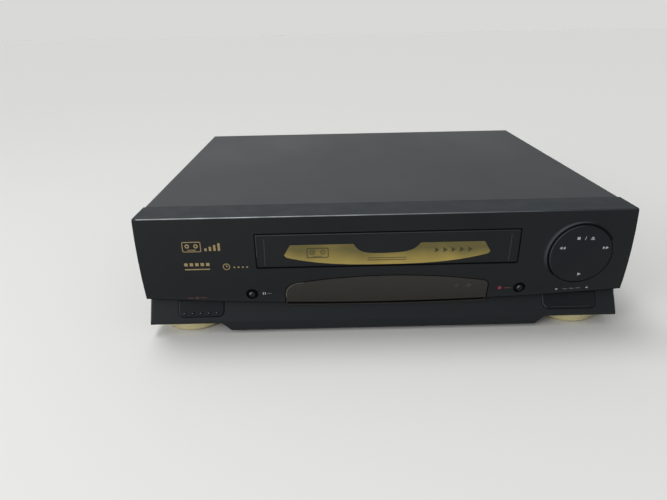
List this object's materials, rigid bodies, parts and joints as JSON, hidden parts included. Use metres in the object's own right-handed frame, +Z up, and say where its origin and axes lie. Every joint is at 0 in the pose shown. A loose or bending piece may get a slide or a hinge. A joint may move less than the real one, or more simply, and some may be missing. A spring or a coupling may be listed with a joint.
{
  "type": "vhs video cassette recorder",
  "caption": "Front-loading video cassette recorder: curved dark front with hinged cassette flap, smoked display strip, tilting control disc, round feet, and a tape deck under a steel cover.",
  "frame": {"origin": "on the surface the recorder stands on, below the middle of its box", "axes": "+X to the right seen from the front, the front looks along -Y, +Z up"},
  "size_m": [0.38, 0.312, 0.101],
  "materials": {
    "cover_steel": "dark blue-grey satin paint, fine texture",
    "front_plastic": "dark blue-grey moulded plastic",
    "key_plastic": "dark grey moulded plastic, smooth",
    "smoked_lens": "smoked brown clear plastic",
    "display_glass": "fluorescent display tube",
    "gold_trim": "pale gold metallic",
    "pad_rubber": "black rubber",
    "bottom_steel": "zinc-grey sheet",
    "tub_plastic": "black structural plastic",
    "socket_plastic": "black plastic",
    "plated": "nickel plated",
    "deck_steel": "zinc plated sheet steel",
    "shaft_steel": "ground and polished steel",
    "drum_aluminium": "turned and lapped",
    "board": "paper-phenolic board, solder mask",
    "transformer_iron": "varnished laminations and tape",
    "capacitor_can": "shrink sleeve",
    "white_acetal": "ivory acetal",
    "black_acetal": "black acetal",
    "roller_rubber": "ground black rubber",
    "bearing_brass": "sintered bronze"
  },
  "bodies": {
    "casing": {"top_cover": "cover_steel", "front_panel": "front_plastic", "lower_apron": "front_plastic", "bottom_plate": "bottom_steel", "base_tub": "tub_plastic", "rear_panel": "tub_plastic", "cover_screws": "plated", "foot_rings": "gold_trim", "foot_pads": "pad_rubber", "display_lens": "smoked_lens", "display_tube": "display_glass", "front_board": "board", "push_switches": "black_acetal", "tuner_can": "plated", "aerial_sockets": "plated", "phono_sockets": "socket_plastic", "scart_sockets": "socket_plastic", "mains_inlet": "socket_plastic", "main_board": "board", "power_board": "board", "transformer": "transformer_iron", "heat_sink": "drum_aluminium", "capacitors": "capacitor_can", "deck_plate": "deck_steel", "deck_screws": "plated", "left_lift_bracket": "deck_steel", "right_lift_bracket": "deck_steel", "lift_top_plate": "deck_steel", "drum_base": "drum_aluminium", "lower_drum": "drum_aluminium", "capstan_bearing": "bearing_brass", "erase_head": "plated", "audio_head": "plated", "loading_motor": "plated"},
    "flap_door": {"flap": "front_plastic"},
    "standby_key": {"standby_button": "key_plastic"},
    "still_key": {"still_button": "key_plastic"},
    "record_key": {"record_button": "key_plastic"},
    "channel_key": {"channel_rocker": "key_plastic"},
    "disc_ring": {"disc_gimbal": "black_acetal"},
    "disc": {"control_disc": "key_plastic"},
    "sliders": {"tray_sliders": "black_acetal"},
    "tray": {"cassette_tray": "deck_steel"},
    "pinion_shaft": {"lift_shaft": "shaft_steel"},
    "drum": {"head_drum": "drum_aluminium", "drum_rotor": "plated"},
    "capstan_shaft": {"capstan": "shaft_steel"},
    "pinch_lever": {"pinch_arm": "deck_steel"},
    "pinch_wheel": {"pinch_roller": "roller_rubber"},
    "supply_table": {"supply_reel": "white_acetal"},
    "takeup_table": {"takeup_reel": "white_acetal"},
    "idler_lever": {"idler_arm": "deck_steel"},
    "idler_wheel": {"idler_gear": "white_acetal"},
    "supply_carriage": {"supply_guide": "shaft_steel"},
    "takeup_carriage": {"takeup_guide": "shaft_steel"},
    "supply_roller": {"supply_guide_roller": "shaft_steel"},
    "takeup_roller": {"takeup_guide_roller": "shaft_steel"},
    "tension_lever": {"tension_arm": "deck_steel"},
    "cam": {"cam_gear": "white_acetal"},
    "worm": {"loading_worm": "black_acetal"}
  },
  "joints": [
    {"name": "flap_swing", "type": "hinge", "parent": "casing", "child": "flap_door", "pos_m": [0.00175, -0.15371, 0.0861], "axis": [1, 0, 0], "range_deg": [0, 90], "stiffness_Nm_per_rad": 0.006, "springref_deg": -11.46},
    {"name": "tray_in", "type": "slide", "parent": "casing", "child": "sliders", "axis": [0, 1, 0], "range_m": [0, 0.0515]},
    {"name": "tray_down", "type": "slide", "parent": "sliders", "child": "tray", "axis": [0, 0, -1], "range_m": [0, 0.022]},
    {"name": "lift_shaft_turn", "type": "hinge", "parent": "casing", "child": "pinion_shaft", "pos_m": [0.00175, -0.07375, 0.0903], "axis": [1, 0, 0], "range_deg": [0, 590.2]},
    {"name": "drum_spin", "type": "hinge", "parent": "casing", "child": "drum", "pos_m": [0.00175, 0.026, 0.0515], "axis": [-0.104, 0, 0.9946], "continuous": true},
    {"name": "capstan_spin", "type": "hinge", "parent": "casing", "child": "capstan_shaft", "pos_m": [0.06775, -0.012, 0.04], "axis": [0, 0, 1], "continuous": true},
    {"name": "supply_reel_spin", "type": "hinge", "parent": "casing", "child": "supply_table", "pos_m": [-0.0445, -0.08, 0.04], "axis": [0, 0, 1], "continuous": true},
    {"name": "takeup_reel_spin", "type": "hinge", "parent": "casing", "child": "takeup_table", "pos_m": [0.048, -0.08, 0.04], "axis": [0, 0, 1], "continuous": true},
    {"name": "idler_swing", "type": "hinge", "parent": "casing", "child": "idler_lever", "pos_m": [0.00175, -0.05, 0.0368], "axis": [0, 0, 1], "range_deg": [-24, 24]},
    {"name": "idler_gear_spin", "type": "hinge", "parent": "idler_lever", "child": "idler_wheel", "pos_m": [0.00175, -0.084, 0.04], "axis": [0, 0, 1], "continuous": true},
    {"name": "pinch_swing", "type": "hinge", "parent": "casing", "child": "pinch_lever", "pos_m": [0.08975, 0.016, 0.0355], "axis": [0, 0, -1], "range_deg": [0, 35], "stiffness_Nm_per_rad": 0.02},
    {"name": "pinch_roller_spin", "type": "hinge", "parent": "pinch_lever", "child": "pinch_wheel", "pos_m": [0.09035, -0.0098, 0.04], "axis": [0, 0, 1], "continuous": true},
    {"name": "tension_swing", "type": "hinge", "parent": "casing", "child": "tension_lever", "pos_m": [-0.07425, -0.02, 0.037], "axis": [0, 0, 1], "range_deg": [0, 60], "stiffness_Nm_per_rad": 0.004},
    {"name": "cam_turn", "type": "hinge", "parent": "casing", "child": "cam", "pos_m": [0.07975, 0.046, 0.043], "axis": [0, 0, 1], "range_deg": [0, 270.2]},
    {"name": "worm_turn", "type": "hinge", "parent": "casing", "child": "worm", "pos_m": [0.06975, 0.0688, 0.043], "axis": [1, 0, 0], "continuous": true},
    {"name": "supply_guide_in", "type": "slide", "parent": "casing", "child": "supply_carriage", "axis": [-0.1738, 0.9848, 0], "range_m": [0, 0.069]},
    {"name": "takeup_guide_in", "type": "slide", "parent": "casing", "child": "takeup_carriage", "axis": [0.1738, 0.9848, 0], "range_m": [0, 0.069]},
    {"name": "supply_guide_roller_spin", "type": "hinge", "parent": "supply_carriage", "child": "supply_roller", "pos_m": [-0.03225, -0.03, 0.04], "axis": [0, 0, 1], "continuous": true},
    {"name": "takeup_guide_roller_spin", "type": "hinge", "parent": "takeup_carriage", "child": "takeup_roller", "pos_m": [0.03575, -0.03, 0.04], "axis": [0, 0, 1], "continuous": true},
    {"name": "standby_press", "type": "slide", "parent": "casing", "child": "standby_key", "axis": [0, 0.8575, -0.5145], "range_m": [0, 0.0008], "stiffness_N_per_m": 500, "springref_m": -0.0005},
    {"name": "still_press", "type": "slide", "parent": "casing", "child": "still_key", "axis": [0, 1, 0], "range_m": [0, 0.0007], "stiffness_N_per_m": 500, "springref_m": -0.0005},
    {"name": "record_press", "type": "slide", "parent": "casing", "child": "record_key", "axis": [0, 1, 0], "range_m": [0, 0.0007], "stiffness_N_per_m": 500, "springref_m": -0.0005},
    {"name": "channel_tilt", "type": "hinge", "parent": "casing", "child": "channel_key", "pos_m": [0.152, -0.14622, 0.01899], "axis": [0, 0.5145, 0.8575], "range_deg": [-2, 2], "stiffness_Nm_per_rad": 0.1},
    {"name": "disc_tilt_vertical", "type": "hinge", "parent": "casing", "child": "disc_ring", "pos_m": [0.1515, -0.1475, 0.0646], "axis": [1, 0, 0], "range_deg": [-1.5, 1.5], "stiffness_Nm_per_rad": 0.2},
    {"name": "disc_tilt_side", "type": "hinge", "parent": "disc_ring", "child": "disc", "pos_m": [0.1515, -0.1475, 0.0646], "axis": [0, 0, 1], "range_deg": [-1.5, 1.5], "stiffness_Nm_per_rad": 0.2}
  ],
  "couplings": [
    {"joint": "lift_shaft_turn", "follows": "tray_in", "rad_per_m": 200},
    {"joint": "takeup_guide_in", "follows": "supply_guide_in", "ratio": 1},
    {"joint": "cam_turn", "follows": "supply_guide_in", "rad_per_m": 68.3},
    {"joint": "worm_turn", "follows": "supply_guide_in", "rad_per_m": 2458.8}
  ]
}
